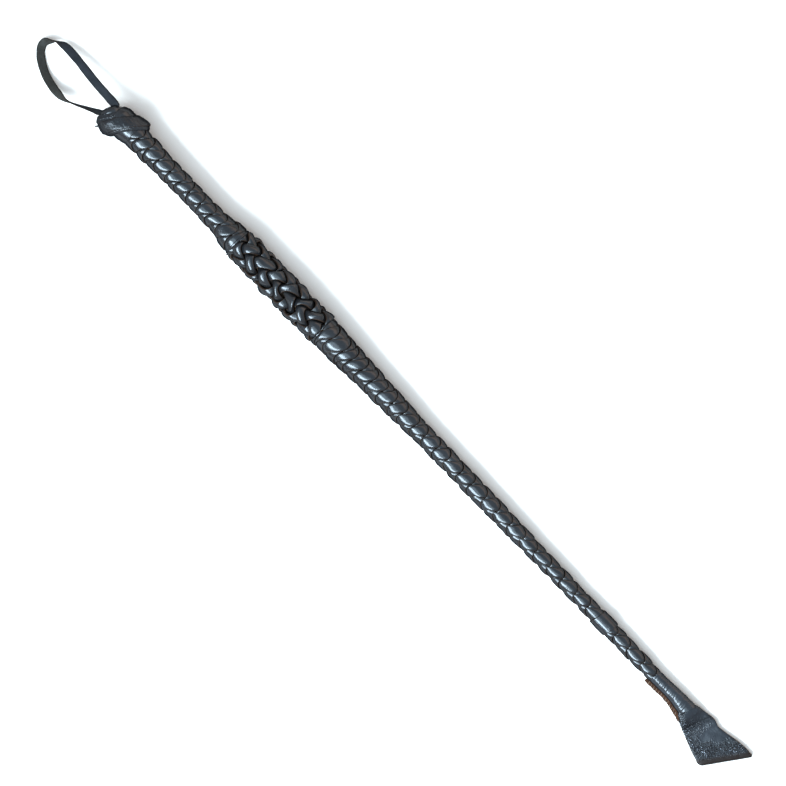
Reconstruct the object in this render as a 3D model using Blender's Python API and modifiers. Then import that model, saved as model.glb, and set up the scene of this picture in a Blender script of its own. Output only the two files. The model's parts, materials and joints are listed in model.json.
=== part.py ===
"""A plaited leather riding crop, at rest on a floor at z = 0, butt end at -X and flap at +X.

A tapered rod runs the whole length.  Flat laces are plaited round it in a handle and a
shaft, and plumper laces make the coarse grip between them.  A wrapped knot closes the butt
end and holds a narrow wrist loop.  At the tip a wrapped sleeve holds a leather flap that is
folded over at its slanted end.  The loop swings on the knot and the flap bends at its crease.
"""

import math

import bmesh
import bpy
import numpy as np
from mathutils import Matrix, Vector

MM = 0.001

# ---- driving dimensions -------------------------------------------------------------
# Places along the shaft are distances along its axis, from the middle of the object.

AXIS_Y = 3.8 * MM            # the shaft's axis lies this far from the object's middle line
GRIP_REST = -72 * MM         # where the grip touches the floor
GRIP_HEIGHT = 11.78 * MM     # height of the axis there
AXIS_DROP = 0.0192           # fall of the axis for each metre towards the tip
GAP = 0.3 * MM               # left between pieces that touch

HANDLE_START = -249.6 * MM
GRIP_START = -150.4 * MM
GRIP_END = -69.0 * MM
SLEEVE_START = 254.0 * MM
SLEEVE_END = 289.3 * MM

ROD_BUTT_RADIUS = 3.6 * MM
ROD_TIP_RADIUS = 1.8 * MM
ROD_START = -275.0 * MM
ROD_END = 285.0 * MM

HANDLE_FILLER_START = (-257.5 * MM, 5.3 * MM)    # place and radius
SHAFT_FILLER_END = 26 * MM
HANDLE_BORE = (3.9 * MM, 3.5 * MM)      # radius of each filler's bore, butt end and tip end
GRIP_BORE = (3.6 * MM, 3.3 * MM)
SHAFT_BORE = (3.35 * MM, 3.0 * MM)
FILLER_STEPS = 16

# Outer radius of each plait: (place along the axis, radius).
HANDLE_OUTLINE = [
    (-250 * MM, 8.7 * MM), (-229 * MM, 7.7 * MM), (-186 * MM, 7.2 * MM),
    (-163 * MM, 7.7 * MM), (-151 * MM, 10.9 * MM),
]
GRIP_OUTLINE = [(-150 * MM, 11.5 * MM), (-69 * MM, 11.5 * MM)]
SHAFT_OUTLINE = [
    (-69 * MM, 11.0 * MM), (-29 * MM, 8.9 * MM), (1 * MM, 8.0 * MM), (26 * MM, 6.9 * MM),
    (92 * MM, 6.7 * MM), (155 * MM, 5.7 * MM), (192 * MM, 5.6 * MM), (201 * MM, 5.2 * MM),
    (213 * MM, 5.2 * MM), (222 * MM, 5.6 * MM), (254 * MM, 5.0 * MM),
]

LACE_THICKNESS = 1.3 * MM
LACE_COVER = 0.8             # share of its room that each lace fills
LACE_LEAN = 0.29             # how far the laces are drawn along the shaft where they cross
FLAT_LACES = 4
GRIP_LACE_THICKNESS = 2.9 * MM
GRIP_LACE_COVER = 0.74
GRIP_LACE_LEAN = 0.12
GRIP_LACES = 8
HANDLE_PITCH = [(-250 * MM, 20 * MM), (-150 * MM, 20 * MM)]
GRIP_PITCH = [(-150 * MM, 50 * MM), (-69 * MM, 50 * MM)]
SHAFT_PITCH = [
    (-69 * MM, 18 * MM), (-20 * MM, 20 * MM), (40 * MM, 22 * MM),
    (120 * MM, 26 * MM), (254 * MM, 26 * MM),
]

COLLAR_LENGTH = 1.6 * MM                 # collar between the handle's laces and the grip's
COLLAR_ROOM = 2 * MM
COLLAR_RADIUS = 10.9 * MM
COLLAR_BORE = 9.0 * MM
COLLAR_BEVEL = (0.3 * MM, 0.5 * MM)      # along the axis and across it

KNOT_CENTRE = (-1.0 * MM, -1.15 * MM)     # the knot sits this much off the axis, y and z
KNOT_SLANT = 5.2 * MM                    # lean of the knot's turns along the axis
BAND_CENTRE = -262.0 * MM
BAND_RADIUS = 14.25 * MM
BAND_WIDTH = 10.0 * MM
BAND_THICKNESS = 2.6 * MM
EDGE_LACE_CENTRE = -255.0 * MM
EDGE_LACE_RADIUS = 13.95 * MM
EDGE_LACE_WIDTH = 3.4 * MM
EDGE_LACE_THICKNESS = 2.2 * MM
LOOP_WRAP_CENTRE = -272.1 * MM
LOOP_WRAP_RADIUS = 9.6 * MM
LOOP_WRAP_WIDTH = 4.6 * MM
LOOP_WRAP_THICKNESS = 1.8 * MM
LOOP_WRAP_OFFSET = (-0.4 * MM, 0.0)
LOOP_WRAP_SLANT = 2.6 * MM

# Outer line and bore of the knot's foundation: (place along the axis, radius).
FOUNDATION_OUTLINE = [
    (-266.6 * MM, 8.8 * MM), (-264 * MM, 9.6 * MM), (-260 * MM, 9.8 * MM),
    (-255 * MM, 9.6 * MM), (-251 * MM, 8.8 * MM),
]
FOUNDATION_BORE = [
    (-266.6 * MM, 7.5 * MM), (-258 * MM, 7.5 * MM), (-257.4 * MM, 6.1 * MM), (-251 * MM, 6.1 * MM),
]
# The end of the knot's lace, in mm and degrees: x, y and z from the axis, roll.
KNOT_TAIL = [(-273.2, -12.2, 0.6, 10), (-274.3, -13.1, 0.8, 12), (-275.9, -14.5, 0.6, 20)]
KNOT_TAIL_WIDTH = 3.0 * MM
KNOT_TAIL_THICKNESS = 1.1 * MM
KNOT_TAIL_TAPER = 0.26                   # share of its size lost at each section

WHIPPING_RIDGE = 0.4 * MM                # how far each turn of thread stands out
BUTT_WHIPPING = (-272 * MM, -258.5 * MM, 6, 6.75 * MM, 6.4 * MM)   # start, end, turns, radius, bore
TIP_WHIPPING = (255 * MM, 261.4 * MM, 4, 3.1 * MM, 2.4 * MM)

STRAP_WIDTH = 6.0 * MM
STRAP_THICKNESS = 1.2 * MM
LOOP_HINGE = -280.0 * MM
LOOP_HINGE_GAP = 0.7 * MM                # from the hinge to the fixed ends, for swinging room
# Stations of the straps, in mm and degrees: x, y and z, roll.  The two fixed ends are
# measured from the shaft's axis, the loop from its hinge.
LOOP_END_UPPER = [
    (-279.3, 5.0, 0, 0), (-277.6, 4.9, 0, 25), (-275.5, 4.7, 0, 60), (-272.5, 4.6, 0, 90),
    (-259.5, 4.6, 0, 90),
]
LOOP_END_LOWER = [
    (-279.3, -6.0, 0, 0), (-277.6, -5.3, 0, -35), (-275.5, -4.8, 0, -70), (-272.5, -4.6, 0, -90),
    (-259.5, -4.6, 0, -90),
]
LOOP_PATH = [
    (-0.2, 5.0, 0, 0), (-2.5, 5.1, -0.4, 0), (-17, 5.8, -3.6, 0), (-36, 7.6, -8.2, 3),
    (-48, 8.0, -11.4, 18), (-54.5, 6.4, -12.4, 70), (-57.4, 4.4, -12.7, 95),
    (-61.2, 0.2, -14.3, 150), (-60.4, -4.4, -15.4, 168), (-56.6, -8.6, -15.5, 172),
    (-50.4, -12.6, -14.9, 170), (-42.6, -15.8, -13.5, 170), (-33.6, -17.6, -11.2, 172),
    (-25.6, -17.6, -8.6, 200), (-20.2, -16.6, -6.5, 262), (-14, -14.0, -4.3, 292),
    (-7, -10.2, -2.0, 318), (-2.2, -7.2, -0.6, 352), (-0.2, -6.0, 0, 360),
]
LOOP_END_SECTIONS = 12
LOOP_SECTIONS = 52

# Sections of the sleeve: place, half width, half height, reach of its seam to -Y.
SLEEVE_SECTIONS = [
    (254.2 * MM, 5.0 * MM, 4.95 * MM, 6.4 * MM), (258 * MM, 4.9 * MM, 4.85 * MM, 7.6 * MM),
    (265 * MM, 4.8 * MM, 4.6 * MM, 8.0 * MM), (274 * MM, 5.2 * MM, 4.5 * MM, 8.3 * MM),
    (283 * MM, 5.8 * MM, 4.4 * MM, 8.7 * MM), (289.3 * MM, 6.2 * MM, 4.3 * MM, 8.9 * MM),
]
SLEEVE_WALL = 1.1 * MM
SEAM_HALF = 1.25 * MM        # half the thickness of the sleeve's seam
SEAM_MOUTH = 22              # degrees between the seam and where the round part starts
SLEEVE_STEPS = 14
SLEEVE_CUT_START = 274 * MM  # from here the sections lean, up to the slanted cut
SLEEVE_CUT_LEAN = 0.35
STITCH_START = 256.5 * MM
STITCH_LENGTH = 29.5 * MM
TURNS_OF_STITCH = 8
STITCH_RADIUS = 0.3 * MM
STITCH_RISE = SEAM_HALF + 0.6 * MM
STITCH_INSET = 1.0 * MM      # how far from the seam's edge the thread passes through
STITCH_LOOP = 0.6 * MM       # how far the thread goes round the edge

LAYER = 1.5 * MM                         # leather of the flap
FLAP_HALF = 1.65 * MM                    # half the thickness of the folded flap
CREASE = (302.9 * MM, -1.2 * MM)         # middle of the crease, x and y from the axis
CREASE_SLANT = math.radians(21)          # lean of the crease from straight across
CREASE_GAP = 1.9 * MM                    # room behind the crease for the flap to bend
BLADE_GAP = 0.2 * MM                     # between the crease's line and the blade
BLADE_UPPER_START = 8.5 * MM             # the blade's two near corners, y from the axis
BLADE_LOWER_START = -15.0 * MM
BLADE_UPPER_END = (342.8 * MM, 8.9 * MM)    # the blade's two far corners
BLADE_LOWER_END = (321.6 * MM, -19.6 * MM)
BLADE_BELLY = 1.1 * MM                   # how far the lower edge swells out
EDGE_DIP = (-1.7 * MM, 0.2, 0.13)        # of the upper edge: depth, middle and half length
EDGE_SWELL = (1.1 * MM, 0.78, 0.2)
# Sections of the flap's root: place, lean along the shaft, reach to -Y and +Y, half height.
ROOT_SECTIONS = [
    (263, 0.0, -3.3, 3.3, 3.0), (275, 0.0, -3.6, 3.6, 3.0), (283, 0.2, -4.1, 4.1, 2.9),
    (288.5, 0.35, -4.6, 4.6, 2.8), (291.2, 0.36, -7.2, 5.5, 2.5), (295.4, 0.37, -11.4, 6.5, 1.9),
    (301.0, math.tan(CREASE_SLANT), -15.0, 8.4, 1.65),
]
ROOT_WALL = 1.05 * MM
ROOT_OPENING = 0.3 * MM                  # least half height of the hollow in the root
ROOT_FLAT_PLACE = 301 * MM               # where the root has come down to the blade's height
ROOT_STEPS = 20

TIP_BAND_START = 200.6 * MM
TIP_BAND_END = 213.4 * MM
TIP_BAND_RADIUS = 6.35 * MM
TIP_BAND_THICKNESS = 0.85 * MM
TIP_BAND_SLANT = 0.8 * MM

# ---- colours: (red, green, blue), roughness -----------------------------------------

BLACK_LEATHER = ((0.030, 0.036, 0.046), 0.32)
MATT_LEATHER = ((0.040, 0.042, 0.046), 0.55)
STRAP_LEATHER = ((0.045, 0.046, 0.046), 0.60)
RAW_FILLER = ((0.420, 0.260, 0.130), 0.85)
ROD_COLOUR = ((0.600, 0.560, 0.460), 0.45)
THREAD_COLOUR = ((0.060, 0.045, 0.036), 0.80)


# ---- helpers ------------------------------------------------------------------------

def clear_scene():
    for thing in list(bpy.data.objects):
        bpy.data.objects.remove(thing, do_unlink=True)


def make_material(name, look):
    colour, roughness = look
    material = bpy.data.materials.new(name)
    material.use_nodes = True
    shader = material.node_tree.nodes["Principled BSDF"]
    shader.inputs["Base Color"].default_value = (*colour, 1.0)
    shader.inputs["Roughness"].default_value = roughness
    shader.inputs["Metallic"].default_value = 0.0
    return material


def axis_height(place):
    """Height of the shaft's axis above the floor."""
    return GRIP_HEIGHT - AXIS_DROP * (place - GRIP_REST)


def make_empty(name, matrix):
    empty = bpy.data.objects.new(name, None)
    empty.empty_display_size = 0.01
    empty.matrix_world = matrix
    PARTS.objects.link(empty)
    return empty


clear_scene()
PARTS = bpy.data.collections.new("riding_crop")
bpy.context.scene.collection.children.link(PARTS)
SHAFT = make_empty(
    "shaft_axis",
    Matrix.Translation((0.0, AXIS_Y, axis_height(0.0))) @ Matrix.Rotation(math.atan(AXIS_DROP), 4, "Y"),
)


def add_object(name, data, look, parent):
    """Puts a mesh or curve, written in its parent's frame, into the parts collection."""
    thing = bpy.data.objects.new(name, data)
    data.materials.append(make_material(name, look))
    thing.parent = parent
    PARTS.objects.link(thing)
    return thing


def mesh_from(name, work):
    """Turns a bmesh into a mesh with its faces pointing out."""
    bmesh.ops.recalc_face_normals(work, faces=work.faces)
    mesh = bpy.data.meshes.new(name)
    work.to_mesh(mesh)
    work.free()
    mesh.shade_smooth()
    mesh.set_sharp_from_angle(angle=math.radians(40))
    return mesh


def smooth_value(table, place):
    """Reads a table of (place, value) with a soft ease between its rows."""
    places = [row[0] for row in table]
    values = [row[1] for row in table]
    if place <= places[0]:
        return values[0]
    for low, high, first, last in zip(places, places[1:], values, values[1:]):
        if place <= high:
            share = (place - low) / (high - low)
            return first + (last - first) * (0.5 * share + 0.5 * share * share * (3 - 2 * share))
    return values[-1]


def loft(name, rings, closed_path=False):
    """Joins rings of points, each with the same count, into one closed skin."""
    work = bmesh.new()
    made = [[work.verts.new(point) for point in ring] for ring in rings]
    count = len(rings[0])
    pairs = list(zip(made, made[1:]))
    if closed_path:
        pairs.append((made[-1], made[0]))
    for first, second in pairs:
        for spot in range(count):
            after = (spot + 1) % count
            work.faces.new((first[spot], first[after], second[after], second[spot]))
    if not closed_path:
        work.faces.new(made[0])
        work.faces.new(made[-1])
    return mesh_from(name, work)


def turned(name, outline, look, steps=20, inner=None):
    """A turned piece along the shaft: its outer line (place, radius), and a bore if given."""
    profile = [(radius, place) for place, radius in sorted(outline, reverse=True)]
    if inner is None:
        profile = [(0.0, profile[0][1])] + profile + [(0.0, profile[-1][1])]
    else:
        profile += [(radius, place) for place, radius in sorted(inner)]
    mesh = bpy.data.meshes.new(name)
    points = [(radius, 0.0, place) for radius, place in profile]
    edges = [(spot, spot + 1) for spot in range(len(points) - 1)]
    if inner is not None:
        edges.append((len(points) - 1, 0))
    mesh.from_pydata(points, edges, [])
    thing = add_object(name, mesh, look, SHAFT)
    thing.rotation_euler = (0.0, math.pi / 2, 0.0)
    screw = thing.modifiers.new("turn", "SCREW")
    screw.axis = "Z"
    screw.angle = 2 * math.pi
    screw.steps = steps
    screw.render_steps = steps
    screw.use_merge_vertices = True
    screw.merge_threshold = 0.00001
    screw.use_smooth_shade = True
    return thing


# ---- plaits -------------------------------------------------------------------------

class Plait:
    """Laces that wind both ways round the shaft, each over one lace and under the next.

    A lace winding one way keeps angle - phase constant, and one winding the other way keeps
    angle + phase constant, where phase grows along the shaft by a full turn each pitch.
    """

    def __init__(self, start, end, outline, pitch, strands, thickness, cover, lean, turn=0.0):
        self.start = start
        self.end = end
        self.outline = outline
        self.each_way = strands // 2
        self.band = 2 * math.pi / self.each_way
        self.half = 0.5 * cover * self.band
        self.thickness = thickness
        self.lean = lean
        self.turn = turn
        margin = 60 * MM
        self.places = np.linspace(start - margin, end + margin, 2000)
        rates = [2 * math.pi / smooth_value(pitch, place) for place in self.places]
        steps = np.diff(self.places) * 0.5 * (np.array(rates[1:]) + np.array(rates[:-1]))
        self.phases = np.concatenate(([0.0], np.cumsum(steps)))

    def point(self, first, second, level):
        """The point at angle - phase = first and angle + phase = second, level below the top."""
        angle = 0.5 * (first + second)
        place = float(np.interp(0.5 * (second - first), self.phases, self.places))
        radius = smooth_value(self.outline, place) - level
        room = min(place - self.start, self.end - place) / (8 * MM)
        fade = min(1.0, max(0.0, room))
        place += self.lean * radius * fade * math.sin(self.each_way * angle)
        angle += self.turn
        return Vector((place, radius * math.sin(angle), radius * math.cos(angle)))

    def lace(self, name, number, rising, look):
        """One lace, cut off square at both ends of the plait."""
        own = number * self.band
        under = self.thickness + GAP
        rows = []
        furthest = int(2 * self.phases[-1] / self.band) + 2
        for crossing in range(-furthest, furthest):
            over = ((number + crossing) % 2 == 0) == rising
            top = 0.0 if over else under
            for offset in (-self.half, 0.0, self.half):
                rows.append((crossing * self.band + offset, top))
        rows = [row for row in rows if self.in_reach(own, row[0], rising)]
        work = bmesh.new()
        rings = []
        for across, top in rows:
            ring = []
            for side, depth in ((-1, 0.5), (0, 0.0), (1, 0.5), (0, 1.0)):
                along = own + side * self.half
                pair = (along, across) if rising else (across, along)
                ring.append(work.verts.new(self.point(*pair, top + depth * self.thickness)))
            rings.append(ring)
        for one, two in zip(rings, rings[1:]):
            for spot in range(4):
                after = (spot + 1) % 4
                # The diagonal runs along the shaft, so laces that cross stay nested.
                if spot < 2:
                    work.faces.new((one[spot], one[after], two[spot]))
                    work.faces.new((one[after], two[after], two[spot]))
                else:
                    work.faces.new((one[spot], one[after], two[after]))
                    work.faces.new((one[spot], two[after], two[spot]))
        for place, side in ((self.start, -1), (self.end, 1)):
            everything = work.verts[:] + work.edges[:] + work.faces[:]
            cut = bmesh.ops.bisect_plane(
                work, geom=everything, plane_co=(place, 0, 0), plane_no=(side, 0, 0),
                clear_outer=True, dist=1e-9,
            )
            rim = [edge for edge in cut["geom_cut"] if isinstance(edge, bmesh.types.BMEdge)]
            bmesh.ops.edgeloop_fill(work, edges=rim)
        return add_object(name, mesh_from(name, work), look, SHAFT)

    def in_reach(self, own, across, rising):
        phase = 0.5 * (across - own) if rising else 0.5 * (own - across)
        spare = 0.75 * self.band
        low = np.interp(self.start, self.places, self.phases) - spare
        high = np.interp(self.end, self.places, self.phases) + spare
        return low <= phase <= high

    def make(self, prefix, look):
        for number in range(self.each_way):
            self.lace(f"{prefix}_{2 * number + 1}", number, True, look)
            self.lace(f"{prefix}_{2 * number + 2}", number, False, look)


# ---- rings, straps and wraps --------------------------------------------------------

def slanted_ring(name, centre, radius, width, thickness, offset, look, slant=KNOT_SLANT, steps=24):
    """A flat lace wound once round the shaft, leaning along it, with rounded edges."""
    rings = []
    for step in range(steps):
        angle = 2 * math.pi * step / steps
        middle = centre + slant * math.sin(angle)
        ring = []
        for across, depth in ((-1, 0.75), (-0.8, 0.2), (0, 0), (0.8, 0.2), (1, 0.75), (0.8, 1), (-0.8, 1)):
            reach = radius - depth * thickness
            ring.append(Vector((
                middle + 0.5 * across * width,
                offset[0] + reach * math.sin(angle),
                offset[1] + reach * math.cos(angle),
            )))
        rings.append(ring)
    return add_object(name, loft(name, rings, closed_path=True), look, SHAFT)


def strap_rings(points, rolls, width, thickness):
    """Cross-sections of a flat strap along a path; roll is 0 where its face looks up."""
    rings = []
    for spot, point in enumerate(points):
        before = points[max(spot - 1, 0)]
        after = points[min(spot + 1, len(points) - 1)]
        along = (after - before).normalized()
        side = Vector((0, 0, 1)).cross(along).normalized()
        lift = along.cross(side)
        roll = rolls[spot]
        across = side * math.cos(roll) + lift * math.sin(roll)
        face = lift * math.cos(roll) - side * math.sin(roll)
        ring = []
        for one, two in ((-0.5, -0.5), (0.5, -0.5), (0.5, 0.5), (-0.5, 0.5)):
            ring.append(point + across * one * width + face * two * thickness)
        rings.append(ring)
    return rings


def smooth_path(stations, count):
    """Evenly spaced points and rolls on a smooth curve through (x, y, z, roll in degrees)."""
    known = np.array(stations, dtype=float)
    extended = np.vstack((2 * known[0] - known[1], known, 2 * known[-1] - known[-2]))
    dense = []
    for spot in range(1, len(extended) - 2):
        p0, p1, p2, p3 = extended[spot - 1:spot + 3]
        for share in np.linspace(0, 1, 24, endpoint=False):
            dense.append(0.5 * (
                2 * p1 + (p2 - p0) * share + (2 * p0 - 5 * p1 + 4 * p2 - p3) * share ** 2
                + (3 * p1 - p0 - 3 * p2 + p3) * share ** 3
            ))
    dense = np.array(dense + [known[-1]])
    lengths = np.linalg.norm(np.diff(dense[:, :3], axis=0), axis=1)
    travelled = np.concatenate(([0.0], np.cumsum(lengths)))
    wanted = np.linspace(0, travelled[-1], count)
    columns = [np.interp(wanted, travelled, dense[:, column]) for column in range(4)]
    points = [Vector((x * MM, y * MM, z * MM)) for x, y, z in zip(*columns[:3])]
    return points, [math.radians(roll) for roll in columns[3]]


def make_strap(name, stations, count, parent):
    points, rolls = smooth_path(stations, count)
    rings = strap_rings(points, rolls, STRAP_WIDTH, STRAP_THICKNESS)
    return add_object(name, loft(name, rings), STRAP_LEATHER, parent)


def make_whipping(name, start, end, turns, radius, bore, steps):
    """Thread wound side by side round the shaft, as a ridged tube."""
    pitch = (end - start) / turns
    outline = []
    for turn in range(turns):
        outline.append((start + turn * pitch, radius))
        outline.append((start + (turn + 0.5) * pitch, radius + WHIPPING_RIDGE))
    outline.append((end, radius))
    turned(name, outline, THREAD_COLOUR, steps=steps, inner=[(start, bore), (end, bore)])


# ---- the pieces ---------------------------------------------------------------------

def inside(radius, thickness):
    """The radius left inside two layers of lace, whose flat faces cut a little deeper."""
    return (radius - 2 * thickness - GAP) * math.cos(math.radians(18)) - 1.5 * GAP


def filler_line(outline, start, end, thickness, count):
    places = np.linspace(start, end, count)
    return [(float(place), inside(smooth_value(outline, place), thickness)) for place in places]


def make_filler(name, outline, bore):
    hole = [(outline[0][0], bore[0]), (outline[-1][0], bore[1])]
    turned(name, outline, RAW_FILLER, steps=FILLER_STEPS, inner=hole)


def make_core():
    turned("core_rod", [(ROD_START, ROD_BUTT_RADIUS), (ROD_END, ROD_TIP_RADIUS)], ROD_COLOUR, steps=12)
    handle = filler_line(HANDLE_OUTLINE, HANDLE_START, GRIP_START - COLLAR_ROOM, LACE_THICKNESS, 10)
    grip = filler_line(GRIP_OUTLINE, GRIP_START, GRIP_END, GRIP_LACE_THICKNESS, 2)
    shaft = filler_line(SHAFT_OUTLINE, GRIP_END + GAP, SHAFT_FILLER_END, LACE_THICKNESS, 8)
    make_filler("handle_filler", [HANDLE_FILLER_START] + handle, HANDLE_BORE)
    make_filler("grip_filler", grip, GRIP_BORE)
    make_filler("shaft_filler", shaft, SHAFT_BORE)


def make_plaits():
    Plait(
        HANDLE_START, GRIP_START - COLLAR_ROOM, HANDLE_OUTLINE, HANDLE_PITCH,
        strands=FLAT_LACES, thickness=LACE_THICKNESS, cover=LACE_COVER, lean=LACE_LEAN,
    ).make("handle_lace", BLACK_LEATHER)
    Plait(
        GRIP_START, GRIP_END, GRIP_OUTLINE, GRIP_PITCH,
        strands=GRIP_LACES, thickness=GRIP_LACE_THICKNESS, cover=GRIP_LACE_COVER,
        lean=GRIP_LACE_LEAN, turn=math.pi / GRIP_LACES,
    ).make("grip_lace", BLACK_LEATHER)
    Plait(
        GRIP_END + GAP, SLEEVE_START - GAP, SHAFT_OUTLINE, SHAFT_PITCH,
        strands=FLAT_LACES, thickness=LACE_THICKNESS, cover=LACE_COVER, lean=LACE_LEAN,
    ).make("shaft_lace", BLACK_LEATHER)


def make_bands():
    """The collar at the grip's start, and the flat band round the shaft near its tip."""
    start = GRIP_START - COLLAR_LENGTH
    end = GRIP_START - GAP
    along, across = COLLAR_BEVEL
    collar = [
        (start, COLLAR_RADIUS - across), (start + along, COLLAR_RADIUS),
        (end - along, COLLAR_RADIUS), (end, COLLAR_RADIUS - across),
    ]
    bore = [(start, COLLAR_BORE), (end, COLLAR_BORE)]
    turned("grip_collar", collar, BLACK_LEATHER, steps=24, inner=bore)
    slanted_ring(
        "tip_band", 0.5 * (TIP_BAND_START + TIP_BAND_END), TIP_BAND_RADIUS,
        TIP_BAND_END - TIP_BAND_START, TIP_BAND_THICKNESS, (0.0, 0.0), BLACK_LEATHER,
        slant=TIP_BAND_SLANT, steps=20)


def make_knot():
    turned("knot_foundation", FOUNDATION_OUTLINE, RAW_FILLER, steps=20, inner=FOUNDATION_BORE)
    make_whipping("butt_whipping", *BUTT_WHIPPING, steps=12)
    slanted_ring(
        "knot_band", BAND_CENTRE, BAND_RADIUS, BAND_WIDTH, BAND_THICKNESS, KNOT_CENTRE, BLACK_LEATHER)
    slanted_ring(
        "knot_edge_lace", EDGE_LACE_CENTRE, EDGE_LACE_RADIUS, EDGE_LACE_WIDTH, EDGE_LACE_THICKNESS,
        KNOT_CENTRE, BLACK_LEATHER)
    slanted_ring(
        "loop_wrap", LOOP_WRAP_CENTRE, LOOP_WRAP_RADIUS, LOOP_WRAP_WIDTH, LOOP_WRAP_THICKNESS,
        LOOP_WRAP_OFFSET, BLACK_LEATHER, slant=LOOP_WRAP_SLANT)
    points, rolls = smooth_path(KNOT_TAIL, 4)
    rings = strap_rings(points, rolls, KNOT_TAIL_WIDTH, KNOT_TAIL_THICKNESS)
    for spot, ring in enumerate(rings):
        share = 1 - KNOT_TAIL_TAPER * spot
        rings[spot] = [points[spot] + (corner - points[spot]) * share for corner in ring]
    add_object("knot_tail", loft("knot_tail", rings), BLACK_LEATHER, SHAFT)


def make_loop():
    """The wrist loop, its two fixed ends in the knot, and the hinge that it swings on."""
    make_strap("loop_end_upper", LOOP_END_UPPER, LOOP_END_SECTIONS, SHAFT)
    make_strap("loop_end_lower", LOOP_END_LOWER, LOOP_END_SECTIONS, SHAFT)
    hinge = make_empty("loop_hinge", SHAFT.matrix_world @ Matrix.Translation((LOOP_HINGE, 0, 0)))
    make_strap("wrist_loop", LOOP_PATH, LOOP_SECTIONS, hinge)


# ---- the tip ------------------------------------------------------------------------

def sleeve_end_lean(place, across):
    """The sleeve's flap end is cut at a slant, so its last sections lean along the shaft."""
    share = max(0.0, (place - SLEEVE_CUT_START) / (SLEEVE_END - SLEEVE_CUT_START))
    return SLEEVE_CUT_LEAN * share * across


def make_sleeve():
    """A leather wrap whose two long edges meet in a flat seam down one side."""
    work = bmesh.new()
    rows = []
    middle = SEAM_HALF - 0.5 * SLEEVE_WALL
    for place, wide, high, seam in SLEEVE_SECTIONS:
        wide -= 0.5 * SLEEVE_WALL
        high -= 0.5 * SLEEVE_WALL
        bend = -0.5 * (seam + wide) - 0.4 * MM
        outline = [(-seam, middle), (bend, middle)]
        for step in range(SLEEVE_STEPS + 1):
            angle = math.radians(SEAM_MOUTH - 180 + (360 - 2 * SEAM_MOUTH) * step / SLEEVE_STEPS)
            outline.append((wide * math.cos(angle), -high * math.sin(angle)))
        outline += [(bend, -middle), (-seam, -middle)]
        rows.append([work.verts.new((place + sleeve_end_lean(place, y), y, z)) for y, z in outline])
    for first, second in zip(rows, rows[1:]):
        for spot in range(len(first) - 1):
            work.faces.new((first[spot], second[spot], second[spot + 1], first[spot + 1]))
    sleeve = add_object("sleeve", mesh_from("sleeve", work), MATT_LEATHER, SHAFT)
    wall = sleeve.modifiers.new("wall", "SOLIDIFY")
    wall.thickness = SLEEVE_WALL
    wall.offset = 0.0
    wall.use_even_offset = True


def make_stitching():
    """One thread that goes back and forth over the edge of the sleeve's seam."""
    sections = [(row[0], row[3]) for row in SLEEVE_SECTIONS]
    passes = 2 * TURNS_OF_STITCH
    step = STITCH_LENGTH / passes
    points = []
    for turn in range(passes + 1):
        rise = STITCH_RISE if turn % 2 == 0 else -STITCH_RISE
        place = STITCH_START + step * turn
        edge = -np.interp(place, *zip(*sections))
        points.append((place - 0.22 * step, edge + STITCH_INSET, rise))
        points.append((place + 0.22 * step, edge + STITCH_INSET, rise))
        if turn < passes:
            points.append((place + 0.42 * step, edge - STITCH_LOOP, 0.75 * rise))
            points.append((place + 0.58 * step, edge - STITCH_LOOP, -0.75 * rise))
    curve = bpy.data.curves.new("sleeve_stitching", "CURVE")
    curve.dimensions = "3D"
    spline = curve.splines.new("POLY")
    spline.points.add(len(points) - 1)
    for spot, point in zip(spline.points, points):
        spot.co = (*point, 1.0)
    curve.bevel_depth = STITCH_RADIUS
    curve.bevel_resolution = 1
    curve.use_fill_caps = True
    add_object("sleeve_stitching", curve, THREAD_COLOUR, SHAFT)


def flap_height(place):
    """Height above the floor of the middle of the flap, from the sleeve to the blade."""
    share = min(1.0, max(0.0, (place - SLEEVE_END) / (ROOT_FLAT_PLACE - SLEEVE_END)))
    ease = share * share * (3 - 2 * share)
    return axis_height(place) * (1 - ease) + FLAP_HALF * ease


def root_ring(section, share, wall):
    """One section of the flap's root, wall thinner than its outside all round."""
    place, lean, low, high, tall = section
    middle = 0.5 * (low + high) * MM
    half = 0.5 * (high - low) * MM - wall
    height = tall * MM - wall
    square = 2.0 + 5.0 * max(0.0, share - 0.5)     # round on the rod, flat at the crease
    ring = []
    for step in range(ROOT_STEPS):
        angle = 2 * math.pi * step / ROOT_STEPS
        cosine = math.cos(angle)
        sine = math.sin(angle)
        y = middle + half * math.copysign(abs(cosine) ** (2 / square), cosine)
        z = height * math.copysign(abs(sine) ** (2 / square), sine)
        x = place * MM + lean * (y - CREASE[1])
        ring.append(Vector((x, AXIS_Y + y, flap_height(x) + z)))
    return ring


def make_flap_root():
    """The part of the flap that is wrapped on the rod, inside the sleeve, up to the crease."""
    outer = []
    inner = []
    for number, section in enumerate(ROOT_SECTIONS):
        share = number / (len(ROOT_SECTIONS) - 1)
        outer.append(root_ring(section, share, 0.0))
        inner.append(root_ring(section, share, min(ROOT_WALL, section[4] * MM - ROOT_OPENING)))
    mesh = loft("flap_root", outer + inner[::-1], closed_path=True)
    add_object("flap_root", mesh, MATT_LEATHER, None)


def crease_point(across):
    """A point of the blade's near edge, just clear of the line that it bends on."""
    return Vector((CREASE[0] + BLADE_GAP + math.tan(CREASE_SLANT) * (across - CREASE[1]), across, 0.0))


def flap_edge_wave(reach):
    """The upper edge dips just past the crease, then swells towards the fold."""
    wave = 0.0
    for size, middle, half in (EDGE_DIP, EDGE_SWELL):
        wave += size * math.exp(-((reach - middle) / half) ** 2)
    return wave * min(1.0, 8 * reach) * min(1.0, 8 * (1 - reach))


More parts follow.
